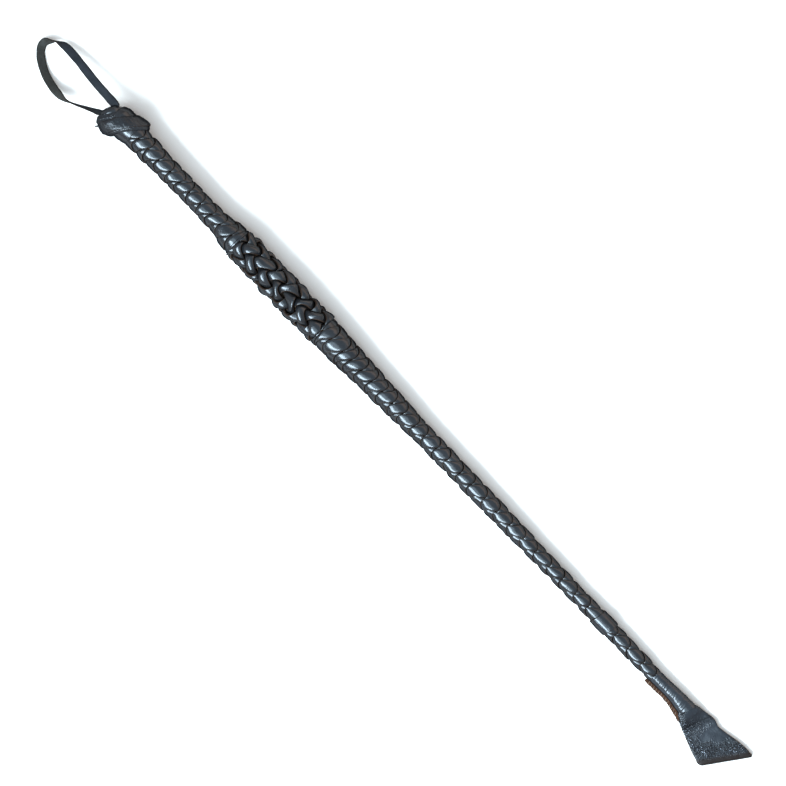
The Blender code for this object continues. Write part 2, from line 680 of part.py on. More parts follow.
def make_flap():
    """The blade: one leather folded over at the slanted far end, two layers deep."""
    middle = Vector((CREASE[0], AXIS_Y + CREASE[1], FLAP_HALF))
    hinge = make_empty(
        "flap_hinge", Matrix.Translation(middle) @ Matrix.Rotation(-CREASE_SLANT, 4, "Z"))
    across = 7
    along = 9
    upper_start = crease_point(BLADE_UPPER_START)
    lower_start = crease_point(BLADE_LOWER_START)
    upper_end = Vector((*BLADE_UPPER_END, 0.0))
    lower_end = Vector((*BLADE_LOWER_END, 0.0))
    fold = FLAP_HALF - 0.5 * LAYER
    back = hinge.matrix_world.inverted()
    work = bmesh.new()
    made = []
    for number in range(across):
        share = number / (across - 1)
        near = lower_start.lerp(upper_start, share)
        far = lower_end.lerp(upper_end, share)
        line = []
        for step in range(along):
            reach = step / (along - 1)
            point = near.lerp(far, reach)
            point.y -= BLADE_BELLY * math.sin(math.pi * reach) * (1 - share)
            point.y += flap_edge_wave(reach) * share
            line.append((point, fold))
        direction = (far - near).normalized()
        under = [(point, -fold) for point, level in reversed(line)]
        for turn in (45, 90, 135):
            bend = math.radians(turn)
            line.append((far + direction * fold * math.sin(bend), fold * math.cos(bend)))
        made.append([
            work.verts.new(back @ Vector((point.x, AXIS_Y + point.y, FLAP_HALF + level)))
            for point, level in line + under
        ])
    for first, second in zip(made, made[1:]):
        for spot in range(len(first) - 1):
            work.faces.new((first[spot], first[spot + 1], second[spot + 1], second[spot]))
    flap = add_object("flap", mesh_from("flap", work), MATT_LEATHER, hinge)
    layer = flap.modifiers.new("layer", "SOLIDIFY")
    layer.thickness = LAYER
    layer.offset = 0.0


make_core()
make_plaits()
make_bands()
make_knot()
make_loop()
make_sleeve()
make_stitching()
make_whipping("tip_whipping", *TIP_WHIPPING, steps=16)
make_flap_root()
make_flap()
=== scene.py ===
"""Looks of the plaited riding crop: leather laces, wrapped knot, wrist strap, sleeve and flap.

Everything is placed in the shaft's own frame: u along the rod's axis, y across, z away from
the floor.  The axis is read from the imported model, and to_world turns (u, y, z) into metres
in the shared frame.
"""

import json
import math

import bmesh
import bpy
import numpy as np
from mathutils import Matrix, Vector


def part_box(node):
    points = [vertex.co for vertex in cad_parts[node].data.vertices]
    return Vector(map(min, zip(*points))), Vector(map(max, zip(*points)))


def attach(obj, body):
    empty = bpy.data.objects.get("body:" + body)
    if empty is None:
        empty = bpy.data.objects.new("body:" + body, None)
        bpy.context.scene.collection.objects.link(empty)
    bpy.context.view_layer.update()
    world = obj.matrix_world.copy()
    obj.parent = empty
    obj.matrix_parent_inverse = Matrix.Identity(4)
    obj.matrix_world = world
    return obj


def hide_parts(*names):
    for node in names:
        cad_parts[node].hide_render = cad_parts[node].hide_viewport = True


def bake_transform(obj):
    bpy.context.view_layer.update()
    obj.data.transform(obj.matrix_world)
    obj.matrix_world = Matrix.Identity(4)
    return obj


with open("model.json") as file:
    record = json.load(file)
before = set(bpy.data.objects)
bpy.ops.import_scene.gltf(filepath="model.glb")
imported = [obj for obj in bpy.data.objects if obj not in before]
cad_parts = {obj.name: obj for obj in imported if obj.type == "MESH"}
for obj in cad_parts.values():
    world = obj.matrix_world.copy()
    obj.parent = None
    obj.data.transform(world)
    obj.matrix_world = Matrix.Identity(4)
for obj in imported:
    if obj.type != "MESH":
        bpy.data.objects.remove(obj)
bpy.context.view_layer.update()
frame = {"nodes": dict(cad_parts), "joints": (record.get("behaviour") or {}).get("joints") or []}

MM = 0.001

HANDLE_START = -262 * MM     # the handle's laces start inside the knot
# The same pitches and crease as in the CAD.  A pitch is (place, length of one turn).
HANDLE_PITCHES = [(-250 * MM, 20 * MM), (-150 * MM, 20 * MM)]
GRIP_PITCHES = [(-150 * MM, 50 * MM), (-69 * MM, 50 * MM)]
SHAFT_PITCHES = [
    (-69 * MM, 18 * MM), (-20 * MM, 20 * MM), (40 * MM, 22 * MM), (120 * MM, 26 * MM),
    (254 * MM, 26 * MM),
]
CREASE = (302.9 * MM, -1.2 * MM)         # u and y of the middle of the flap's crease
CREASE_TAN = math.tan(math.radians(21))  # the crease leans by 21 degrees


# ---- the shaft's frame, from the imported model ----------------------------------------

def box_middle(node):
    low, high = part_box(node)
    return (np.array(low) + np.array(high)) / 2


GRIP_MIDDLE = box_middle("grip_filler")
TIP_MIDDLE = box_middle("tip_whipping")
AXIS = (TIP_MIDDLE - GRIP_MIDDLE) / np.linalg.norm(TIP_MIDDLE - GRIP_MIDDLE)
SIDE = np.array((0.0, 1.0, 0.0))
UP = np.cross(AXIS, SIDE)
ORIGIN = GRIP_MIDDLE - AXIS * GRIP_MIDDLE[0] / AXIS[0]


def to_world(points):
    """Points given as (u, y, z) in the shaft's frame, as points in the shared frame."""
    points = np.asarray(points, dtype=float)
    return ORIGIN + points[..., :1] * AXIS + points[..., 1:2] * SIDE + points[..., 2:3] * UP


def to_shaft(points):
    """The opposite of to_world."""
    away = np.asarray(points, dtype=float) - ORIGIN
    return np.stack((away @ AXIS, away @ SIDE, away @ UP), axis=-1)


def node_points(*names):
    """Every vertex of these CAD nodes, in the shaft's frame."""
    found = []
    for name in names:
        mesh = frame["nodes"][name].data
        flat = np.empty(len(mesh.vertices) * 3)
        mesh.vertices.foreach_get("co", flat)
        found.append(flat.reshape(-1, 3))
    return to_shaft(np.vstack(found))


OUTLINE_STEP = 5 * MM


def outline_of(names):
    """The outer radius of a plait along the shaft: places and radii."""
    points = node_points(*names)
    places = points[:, 0]
    radii = np.hypot(points[:, 1], points[:, 2])
    spots = np.arange(places.min(), places.max() + OUTLINE_STEP, OUTLINE_STEP)
    tops = np.array([radii[np.abs(places - spot) < OUTLINE_STEP].max() for spot in spots])
    return spots, np.convolve(np.pad(tops, 1, mode="edge"), (0.25, 0.5, 0.25), mode="valid")


# ---- meshes --------------------------------------------------------------------------

def finish_mesh(name, points, faces, fields):
    """A piece with these fields on its points; what rests on the floor is pressed flat."""
    mesh = bpy.data.meshes.new(name)
    points = np.array(points).reshape(-1, 3)
    points[:, 2] = np.maximum(points[:, 2], 0.0)
    mesh.from_pydata(points.tolist(), [], faces)
    for key, values in fields.items():
        layer = mesh.attributes.new(key, "FLOAT", "POINT")
        layer.data.foreach_set("value", np.ascontiguousarray(values, dtype=np.float32).ravel())
    work = bmesh.new()
    work.from_mesh(mesh)
    bmesh.ops.recalc_face_normals(work, faces=work.faces)
    if work.calc_volume(signed=True) < 0:
        bmesh.ops.reverse_faces(work, faces=work.faces)
    work.to_mesh(mesh)
    work.free()
    mesh.shade_smooth()
    piece = bpy.data.objects.new(name, mesh)
    bpy.context.scene.collection.objects.link(piece)
    return piece


def tube_faces(rows, columns, closed):
    """Four-sided faces between rings of points; closed joins the last ring to the first."""
    faces = []
    for row in range(rows if closed else rows - 1):
        after = (row + 1) % rows
        for column in range(columns):
            beside = (column + 1) % columns
            faces.append((
                row * columns + column, row * columns + beside,
                after * columns + beside, after * columns + column,
            ))
    return faces


def swept(name, rings, fields, closed=False):
    """A skin over rings of points, shape (rings, points, 3), joined up or with flat ends."""
    rings = np.asarray(rings)
    rows, columns = rings.shape[:2]
    faces = tube_faces(rows, columns, closed)
    if not closed:
        faces.append(tuple(range(columns)))
        faces.append(tuple(range((rows - 1) * columns, rows * columns)))
    return finish_mesh(name, rings, faces, fields)


def cut_square(piece, place, side):
    """Cuts a piece off square to the shaft at a place along it, and closes the cut."""
    work = bmesh.new()
    work.from_mesh(piece.data)
    everything = work.verts[:] + work.edges[:] + work.faces[:]
    cut = bmesh.ops.bisect_plane(
        work, geom=everything, plane_co=to_world((place, 0, 0)), plane_no=AXIS * side,
        clear_outer=True, dist=1e-8,
    )
    rim = [edge for edge in cut["geom_cut"] if isinstance(edge, bmesh.types.BMEdge)]
    bmesh.ops.edgeloop_fill(work, edges=rim)
    work.to_mesh(piece.data)
    work.free()
    piece.data.shade_smooth()


def waves(seed, count, longest, shortest):
    """A smooth random function of (u, angle), about -1 to 1, that repeats round the shaft."""
    draw = np.random.default_rng(seed)
    lengths = np.geomspace(longest, shortest, count)
    turns = draw.integers(-2, 3, count)
    starts = draw.uniform(0, 2 * math.pi, count)
    strengths = draw.uniform(0.5, 1.0, count)
    strengths /= strengths.sum() ** 0.5

    def value(u, angle):
        total = 0.0
        for length, turn, start, strength in zip(lengths, turns, starts, strengths):
            total = total + strength * np.sin(2 * math.pi * u / length + turn * angle + start)
        return total / count ** 0.5 * 1.4

    return value


def grow(value, start, length):
    """0 up to start, 1 from start + length on, straight in between."""
    return np.clip((value - start) / length, 0, 1)


def hill(value, centre, width):
    """1 at the centre, falling off to both sides."""
    return np.exp(-((value - centre) / width) ** 2)


def unit(vectors):
    return vectors / np.linalg.norm(vectors, axis=-1, keepdims=True)


def joint_place(name):
    return next(joint["pos_m"] for joint in frame["joints"] if joint["name"] == name)


# ---- materials -----------------------------------------------------------------------

class Nodes:
    """Short names for building a material's node tree."""

    def __init__(self, name):
        self.material = bpy.data.materials.new(name)
        self.material.use_nodes = True
        self.tree = self.material.node_tree
        self.shader = self.tree.nodes["Principled BSDF"]
        coordinates = self.tree.nodes.new("ShaderNodeTexCoord")
        self.place = coordinates.outputs["Object"]

    def add(self, kind, **settings):
        node = self.tree.nodes.new(kind)
        for key, value in settings.items():
            setattr(node, key, value)
        return node

    def link(self, source, target):
        self.tree.links.new(source, target)

    def noise(self, scale, detail=3.0, rough=0.55, stretch=None):
        node = self.add("ShaderNodeTexNoise")
        node.inputs["Scale"].default_value = scale
        node.inputs["Detail"].default_value = detail
        node.inputs["Roughness"].default_value = rough
        self.link(self.stretched(stretch), node.inputs["Vector"])
        return node.outputs["Fac"]

    def cells(self, scale, feature="F1"):
        node = self.add("ShaderNodeTexVoronoi", feature=feature)
        node.inputs["Scale"].default_value = scale
        self.link(self.place, node.inputs["Vector"])
        return node.outputs["Distance"]

    def stretched(self, stretch):
        if stretch is None:
            return self.place
        node = self.add("ShaderNodeMapping")
        node.inputs["Scale"].default_value = stretch
        self.link(self.place, node.inputs["Vector"])
        return node.outputs["Vector"]

    def field(self, name):
        return self.add("ShaderNodeAttribute", attribute_name=name).outputs["Fac"]

    def ramp(self, source, *stops):
        """A colour or grey ramp; each stop is (place, colour or grey)."""
        node = self.add("ShaderNodeValToRGB")
        elements = node.color_ramp.elements
        while len(elements) < len(stops):
            elements.new(0.5)
        for element, (place, colour) in zip(elements, stops):
            element.position = place
            shade = (colour,) * 3 if isinstance(colour, (int, float)) else colour
            element.color = (*shade, 1.0)
        self.link(source, node.inputs["Fac"])
        return node.outputs["Color"]

    def feed(self, socket, value):
        """Sets a socket to a number or colour, or links another node's output to it."""
        if isinstance(value, (int, float)):
            socket.default_value = value
        elif isinstance(value, tuple):
            socket.default_value = (*value, 1.0)
        else:
            self.link(value, socket)

    def times(self, first, second):
        node = self.add("ShaderNodeMath", operation="MULTIPLY")
        self.feed(node.inputs[0], first)
        self.feed(node.inputs[1], second)
        return node.outputs["Value"]

    def mix(self, share, first, second):
        node = self.add("ShaderNodeMix", data_type="RGBA", blend_type="MIX")
        self.feed(node.inputs["Factor"], share)
        self.feed(node.inputs["A"], first)
        self.feed(node.inputs["B"], second)
        return node.outputs["Result"]

    def bump(self, height, distance, strength=1.0, under=None):
        node = self.add("ShaderNodeBump")
        node.inputs["Strength"].default_value = strength
        node.inputs["Distance"].default_value = distance
        self.link(height, node.inputs["Height"])
        if under is not None:
            self.link(under, node.inputs["Normal"])
        return node.outputs["Normal"]

    def set(self, **values):
        for key, value in values.items():
            self.feed(self.shader.inputs[key.replace("_", " ")], value)


ZERO = (0.0, 0.0, 0.0)
GRAZING_ROUGHNESS = 0.9
BLACK_DARK, BLACK_LIGHT = (0.008, 0.009, 0.011), (0.020, 0.022, 0.026)


def soft_gloss(n, rough, coat=0.0, bare=None):
    """Gloss that fades where a surface turns away, as waxed leather's does."""
    weight = n.add("ShaderNodeLayerWeight")
    weight.inputs["Blend"].default_value = 0.35
    away = n.ramp(weight.outputs["Facing"], (0.08, 0.0), (0.42, 1.0))
    n.set(Roughness=n.mix(away, rough, (GRAZING_ROUGHNESS,) * 3))
    if coat:
        weight = n.mix(away, (coat,) * 3, ZERO)
        n.set(Coat_Weight=n.mix(bare, weight, ZERO) if bare else weight)


def lace_leather(name, gloss, coat, crease):
    """Black lace with a blue cast, fine grain, creases and brown cut edges, and painted shade
    where it sinks under other laces.
    """
    n = Nodes(name)
    patches = n.noise(90, detail=4)
    body = n.ramp(patches, (0.3, (0.0035, 0.0035, 0.004)), (0.7, (0.010, 0.0105, 0.012)))
    rim = n.ramp(n.field("rim"), (0.90, 0.0), (1.0, 1.0))
    # Painted shade: the lace is darkened where it sinks under its neighbours.
    dip_shade = n.ramp(n.field("dip_shade"), (0.35, 0.0), (0.8, 1.0))
    colour = n.mix(rim, body, (0.022, 0.013, 0.009))
    colour = n.mix(dip_shade, colour, (0.004, 0.0035, 0.003))
    n.set(Base_Color=colour)
    scuffs = n.noise(420, detail=5)
    rough = n.ramp(scuffs, (0.25, gloss - 0.07), (0.75, gloss + 0.13))
    rough = n.mix(rim, rough, (0.7, 0.7, 0.7))
    soft_gloss(n, rough, coat)
    n.set(IOR=1.08, Specular_IOR_Level=0.5, Coat_Roughness=0.19)
    creases = n.noise(240, detail=6, rough=0.65, stretch=(0.45, 1.0, 1.0))
    grain = n.cells(1700, feature="SMOOTH_F1")
    normal = n.bump(creases, crease, 0.6)
    normal = n.bump(grain, 0.00006, 0.35, under=normal)
    n.set(Normal=normal, Coat_Normal=normal)
    return n.material


def flap_leather():
    """Pebbled black leather with raised grain, smooth at the rolled fold; painted highlights on
    the pebble tops and painted shade between them.
    """
    n = Nodes("flap_leather")
    patches = n.noise(60, detail=5)
    body = n.ramp(patches, (0.3, BLACK_DARK), (0.72, BLACK_LIGHT))
    rim = n.ramp(n.field("rim"), (0.55, 0.0), (0.95, 1.0))
    fold = n.ramp(n.field("fold"), (0.25, 0.0), (0.8, 1.0))
    cells = n.ramp(n.cells(900), (0.08, 1.0), (0.55, 0.0))
    pebbles_and_glints = n.times(cells, n.ramp(n.noise(420, detail=3), (0.35, 0.25), (0.6, 1.0)))
    height = n.times(pebbles_and_glints, n.field("grain"))
    # Painted shade: the leather is darkened where the pebbles are strong, between their tops.
    body = n.mix(n.times(n.field("grain"), 0.75), body, (0.003, 0.003, 0.004))
    # Painted highlights: the pebble tops are painted pale blue as glints.
    colour = n.mix(n.ramp(height, (0.35, 0.0), (0.95, 1.0)), body, (0.62, 0.68, 0.76))
    # Painted shade in the valley beside the crease.
    colour = n.mix(n.ramp(n.field("dip_shade"), (0.0, 0.0), (1.0, 1.0)), colour, (0.004, 0.004, 0.005))
    colour = n.mix(fold, colour, (0.012, 0.008, 0.0065))
    colour = n.mix(rim, colour, (0.030, 0.017, 0.011))
    n.set(Base_Color=colour)
    rough = n.ramp(n.noise(500, detail=4), (0.3, 0.30), (0.7, 0.50))
    rough = n.mix(n.ramp(height, (0.2, 0.0), (0.9, 1.0)), rough, (0.20, 0.20, 0.20))
    rough = n.mix(fold, rough, (0.5, 0.5, 0.5))
    soft_gloss(n, rough, 0.55, bare=n.mix(0.6, ZERO, fold))
    n.set(IOR=1.1, Specular_IOR_Level=0.5, Coat_Roughness=0.22)
    fine = n.noise(2600, detail=4)
    normal = n.bump(n.noise(330, detail=5, rough=0.6), 0.0005, 0.5)
    normal = n.bump(height, 0.0013, 1.0, under=normal)
    normal = n.bump(fine, 0.00008, 0.4, under=normal)
    n.set(Normal=normal, Coat_Normal=normal)
    return n.material


def sleeve_leather():
    """Thin smooth black leather with fine crinkles round the wrap and a raw brown edge, with
    painted shade in the groove where the wrap meets its seam.
    """
    n = Nodes("sleeve_leather")
    body = n.ramp(n.noise(110, detail=5), (0.3, BLACK_DARK), (0.72, BLACK_LIGHT))
    raw = n.ramp(n.field("rim"), (0.03, 0.0), (0.25, 1.0))
    # Painted shade: a dark line in the groove between the wrap and its raw seam.
    groove_shade = n.ramp(n.field("rim"), (0.0, 0.0), (0.22, 1.0), (0.46, 1.0), (0.62, 0.0))
    strands = n.noise(900, detail=6, rough=0.7)
    fibres = n.ramp(strands, (0.35, (0.016, 0.008, 0.005)), (0.7, (0.085, 0.038, 0.022)))
    n.set(Base_Color=n.mix(groove_shade, n.mix(raw, body, fibres), (0.003, 0.0025, 0.002)))
    rough = n.mix(raw, n.ramp(n.noise(300), (0.3, 0.24), (0.7, 0.42)), (0.9, 0.9, 0.9))
    soft_gloss(n, rough, 0.9, bare=raw)
    n.set(IOR=1.1, Specular_IOR_Level=0.5, Coat_Roughness=0.22)
    crinkle = n.noise(520, detail=6, rough=0.62, stretch=(1.0, 0.35, 0.35))
    normal = n.bump(crinkle, 0.0016, 0.9)
    n.set(Normal=n.bump(n.cells(1900), 0.00008, 0.4, under=normal))
    return n.material


def strap_leather():
    """Matt black strap: smooth grain side, fibrous flesh side, brown cut edges."""
    n = Nodes("strap_leather")
    body = n.ramp(n.noise(150, detail=4), (0.3, BLACK_DARK), (0.7, (0.017, 0.018, 0.021)))
    strands = n.noise(700, detail=6, rough=0.7)
    back = n.ramp(strands, (0.3, (0.011, 0.010, 0.0085)), (0.7, (0.023, 0.021, 0.018)))
    flesh = n.ramp(n.field("flesh"), (0.4, 0.0), (0.6, 1.0))
    rim = n.ramp(n.field("rim"), (0.72, 0.0), (0.95, 1.0))
    colour = n.mix(flesh, body, back)
    n.set(Base_Color=n.mix(rim, colour, (0.010, 0.006, 0.004)))
    rough = n.ramp(n.noise(400, detail=4), (0.3, 0.46), (0.7, 0.64))
    soft_gloss(n, rough)
    n.set(IOR=1.2, Specular_IOR_Level=0.4)
    grain = n.cells(1500, feature="SMOOTH_F1")
    normal = n.bump(n.noise(600, detail=5), 0.0003, 0.6)
    n.set(Normal=n.bump(grain, 0.00008, 0.4, under=normal))
    return n.material


def thread_material(name, dark, light):
    """Waxed thread: twisted strands seen as fine slanted ridges."""
    n = Nodes(name)
    strands = n.noise(1400, detail=4, stretch=(1.0, 0.4, 0.4))
    n.set(Base_Color=n.ramp(strands, (0.3, dark), (0.7, light)))
    n.set(Roughness=0.75, Specular_IOR_Level=0.3, Sheen_Weight=0.2)
    n.set(Normal=n.bump(strands, 0.0002, 0.7))
    return n.material


def filler_material():
    """Raw tan wrap, seen only through the gaps between laces."""
    n = Nodes("filler_wrap")
    fibres = n.noise(800, detail=6, rough=0.7, stretch=(1.0, 0.3, 0.3))
    tan = n.ramp(fibres, (0.3, (0.20, 0.105, 0.045)), (0.7, (0.42, 0.25, 0.13)))
    # Darker in random patches over about half of the wrap.
    dark_patches = n.ramp(n.noise(60, detail=3), (0.50, 1.0), (0.62, 0.0))
    n.set(Base_Color=n.mix(dark_patches, tan, (0.020, 0.012, 0.008)))
    n.set(Roughness=0.9)
    n.set(Normal=n.bump(fibres, 0.0003, 0.7))
    return n.material


def rod_material():
    """Satin glass-fibre rod with fibres along its length."""
    n = Nodes("rod_fibre")
    fibres = n.noise(600, detail=4, stretch=(0.05, 1.0, 1.0))
    n.set(Base_Color=n.ramp(fibres, (0.3, (0.42, 0.38, 0.28)), (0.7, (0.62, 0.58, 0.47))))
    n.set(Roughness=0.4)
    n.set(Normal=n.bump(fibres, 0.0001, 0.4))
    return n.material


LACE = lace_leather("lace_leather", gloss=0.4, coat=1.0, crease=0.0003)
KNOT_LACE = lace_leather("knot_leather", gloss=0.45, coat=0.7, crease=0.0014)
FLAP = flap_leather()
SLEEVE = sleeve_leather()
STRAP = strap_leather()
THREAD = thread_material("waxed_thread", (0.018, 0.012, 0.009), (0.060, 0.042, 0.030))
STITCH = thread_material("stitch_thread", (0.040, 0.022, 0.012), (0.16, 0.09, 0.05))
FILLER = filler_material()
ROD = rod_material()


def dress(piece, material, body, slot, *nodes):
    """Gives a piece its material and body, and hides the CAD nodes it stands for; slot is not
    used.
    """
    piece.data.materials.clear()
    piece.data.materials.append(material)
    if body:
        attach(piece, body)
    if nodes:
        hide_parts(*nodes)
    return piece


# ---- plaits --------------------------------------------------------------------------

LACE_POINTS = 13             # across each lace's outer face
CROSSING_GAP = 0.08 * MM     # between two laces where they cross
LEAST_HALF = 0.13 * MM       # half the thickness of a lace at its edges
SKIN_GAP = 0.04 * MM         # taken off each face of a lace
CALM = 7 * MM                # the unevenness dies out over this length at each end
SHIFT_ARM = 9 * MM           # turns a shift round the shaft into an angle
MARGIN = 40 * MM             # the phase is worked out this far beyond both ends
PUSHES = (-0.35, 1.0)        # least and most of its lift that a lace gets at a crossing
TILTS = (-0.8, 0.8)          # least and most tilt of a lace at a crossing


class Plait:
    """Laces wound both ways round the shaft, each over one lace and under the next.

    A lace winding one way keeps angle - phase constant, one winding the other way keeps
    angle + phase constant; phase grows along the shaft by a full turn each pitch.  How a
    lace rises and sinks along its length, and how its section thins to its edges, use the
    same curve, so laces that cross just touch.  Random shifts, the same for both laces,
    make the plait uneven.  The lace on top is also lifted and tilted at random, so it may
    stand off the one below it or press a little into it.
    """

    def __init__(self, prefix, count, start, end, pitches, thick, cover, lean, square, wander,
                 seed, turn=0.0, lift=0.25 * MM, proud=0.3 * MM, tuck=None):
        self.names = [f"{prefix}_{number + 1}" for number in range(count)]
        spots, tops = outline_of(self.names)
        self.spots = np.append(spots, end)
        self.tops = np.append(tops, tops[-1])
        self.start, self.end = start, end
        self.each_way = count // 2
        self.band = 2 * math.pi / self.each_way
        self.cover, self.lean, self.square, self.turn = cover, lean, square, turn
        self.thick = thick
        self.drop = thick + CROSSING_GAP
        self.lift, self.wander, self.proud = lift, wander, proud
        if tuck:
            low, high, radius = tuck
            share = grow(self.spots, low, high - low)
            self.tops = self.tops * (1 - share) + radius * share
        self.shift_u = waves(seed, 6, 48 * MM, 14 * MM)
        self.shift_angle = waves(seed + 1, 6, 60 * MM, 15 * MM)
        self.shift_radius = waves(seed + 2, 7, 40 * MM, 9 * MM)
        self.draw = np.random.default_rng(seed)
        self.places = np.linspace(start - MARGIN, end + MARGIN, 3000)
        rates = 2 * math.pi / np.interp(self.places, *zip(*pitches))
        steps = np.diff(self.places) * 0.5 * (rates[1:] + rates[:-1])
        self.phases = np.concatenate(([0.0], np.cumsum(steps)))

    def curve(self, share):
        """1 where a lace is on top or at its middle, -1 opposite, square in between."""
        return np.tanh(self.square * share) / math.tanh(self.square)

    def surface(self, first, second, depth):
        """Points in the shaft's frame, from the two laces' angles and a depth below the top."""
        angle = 0.5 * (first + second)
        u = np.interp(0.5 * (second - first), self.phases, self.places)
        radius = np.interp(u, self.spots, self.tops) + self.proud - depth
        calm = np.clip(np.minimum(u - self.start, self.end - u) / CALM, 0, 1)
        radius = radius + 0.5 * self.wander * calm * self.shift_radius(u, angle)
        shift = calm * self.wander / SHIFT_ARM * self.shift_angle(u, angle)
        turned = angle + shift + self.turn
        moved = u + calm * (
            self.lean * radius * np.sin(self.each_way * angle)
            + 1.5 * self.wander * self.shift_u(u, angle))
        return np.stack((moved, radius * np.sin(turned), radius * np.cos(turned)), axis=-1)

    def lace(self, number, rising, steps):
        name = self.names[2 * number + (0 if rising else 1)]
        own = number * self.band
        low = np.interp(self.start, self.places, self.phases)
        high = np.interp(self.end, self.places, self.phases)
        if rising:
            first, last = own + 2 * low, own + 2 * high
        else:
            first, last = own - 2 * high, own - 2 * low
        spare = 0.7 * self.band
        rows = int((last - first + 2 * spare) / self.band * steps)
        other = np.linspace(first - spare, last + spare, rows)
        # The section: its outer face and then, with fewer points, its inner face.
        outer = self.cover * np.sin(np.linspace(-math.pi / 2, math.pi / 2, LACE_POINTS))
        inner = outer[::-1][::3]
        share = np.concatenate((outer, inner))
        side = np.concatenate((np.ones(len(outer)), -np.ones(len(inner))))
        half = 0.5 * self.drop * self.curve(np.cos(0.5 * math.pi * share)) - SKIN_GAP
        half = np.maximum(LEAST_HALF, half)
        # How high the lace lies as it goes over and under the others.
        count = other / self.band + number + (0 if rising else 1)
        above = np.cos(math.pi * count)
        level = -0.5 * self.drop * (1 - self.curve(above))
        along, offset = np.meshgrid(other, share, indexing="ij")
        crossing = np.round(count / 2).astype(int)
        crossing -= crossing.min()
        pushes = self.draw.uniform(*PUSHES, crossing.max() + 1)[crossing]
        tilts = self.draw.uniform(*TILTS, crossing.max() + 1)[crossing]
        crown = np.clip(above, 0, 1) ** 1.5
        tilted = pushes[:, None] + tilts[:, None] * offset / self.cover
        rise = self.lift * crown[:, None] * tilted
        depth = 0.5 * self.thick - level[:, None] - side[None, :] * half[None, :] - rise
        band_angle = own + offset * 0.5 * self.band
        pair = (band_angle, along) if rising else (along, band_angle)
        rings = to_world(self.surface(*pair, depth))
        rim = np.abs(offset) / self.cover
        # How far the lace has sunk under the others, which sets its painted shade.
        dip_shade = np.repeat(0.5 * (1 - above)[:, None], len(share), axis=1)
        piece = swept("plait_" + name, rings, {"rim": rim, "dip_shade": dip_shade})
        cut_square(piece, self.start, -1)
        cut_square(piece, self.end, 1)
        dress(piece, LACE, "crop", "lace_leather", name)

    def make(self, steps=12):
        for number in range(self.each_way):
            self.lace(number, True, steps)
            self.lace(number, False, steps)


def make_plaits():
    handle_end = float(to_shaft(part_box("grip_collar")[0])[0])
    grip_start = float(to_shaft(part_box("grip_filler")[0])[0])
    grip_end = float(to_shaft(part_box("grip_filler")[1])[0])
    sleeve_start = float(to_shaft(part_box("sleeve")[0])[0])
    gap = 0.2 * MM
    tucked = 6 * MM          # how far the shaft's laces go on inside the sleeve
    flat = {"thick": 1.15 * MM, "cover": 0.90, "lean": 0.29, "square": 2.6, "wander": 0.85 * MM}
    Plait(
        "handle_lace", 4, HANDLE_START, handle_end + gap, HANDLE_PITCHES, seed=3, **flat,
    ).make()
    Plait(
        "grip_lace", 8, grip_start, grip_end, GRIP_PITCHES, seed=8,
        thick=3.4 * MM, cover=0.74, lean=0.20, square=1.0, turn=math.pi / 8,
        wander=1.6 * MM, lift=1.2 * MM, proud=0.5 * MM,
    ).make(steps=14)
    Plait(
        "shaft_lace", 4, grip_end + gap, sleeve_start + tucked, SHAFT_PITCHES, seed=21,
        tuck=(sleeve_start + 1.0 * MM, sleeve_start + tucked, 3.7 * MM), **flat,
    ).make()


# ---- rings ---------------------------------------------------------------------------

def ring_section(points, square):
    """A rounded flat section: places across from -1 to 1, and depths from 0 (outer) to 1."""
    turns = np.linspace(0, 2 * math.pi, points, endpoint=False)
    across = np.sign(np.cos(turns)) * np.abs(np.cos(turns)) ** (2 / square)
    depth = 0.5 - 0.5 * np.sign(np.sin(turns)) * np.abs(np.sin(turns)) ** (2 / square)
    return across, depth


def wound_ring(name, centre, radius, width, thick, offset=(0, 0), slant=0.0, steps=150, seed=5,
               rough=0.25 * MM, crumple=0.0, square=3.0, points=26, taper=0.0, swell=0.0):
    """A lace wound once round the shaft, leaning by slant; taper narrows it towards the tip."""
    angle = np.linspace(0, 2 * math.pi, steps, endpoint=False)[:, None]
    across, depth = ring_section(points, square)
    across, depth = across[None, :], depth[None, :]
    bend = waves(seed, 6, 30 * MM, 5 * MM)
    fine = waves(seed + 1, 10, 9 * MM, 1.6 * MM)
    broad = waves(seed + 2, 3, 60 * MM, 30 * MM)
    wide = width * (1 + swell * np.sin(angle + 0.4))
    u = centre + slant * np.sin(angle) + 0.5 * across * wide
    u = u + rough * bend(across * wide * 0.2, angle * 3)
    r = radius - depth * thick - taper * across + rough * bend(across * wide * 0.5, angle * 2)
    r = r + rough * broad(0 * across, angle)
    # Crumples: fine waves, and ridges that run across the lace at a slant.
    slanted = 19 * angle + 1.3 * bend(across * wide, angle) + 900 * across * wide * slant
    ridges = np.abs(np.sin(slanted)) - 0.6
    wrinkled = fine(across * wide + 3 * MM * np.sin(angle), angle * 5) + 1.1 * ridges
    r = r + crumple * wrinkled * (1 - depth)
    rings = to_world(np.stack(
        (u + 0 * r, offset[0] + r * np.sin(angle), offset[1] + r * np.cos(angle)), axis=-1))
    rim = np.abs(across) * 0.97 + 0 * angle
    return swept(name, rings, {"rim": rim, "dip_shade": 0 * rim}, closed=True)


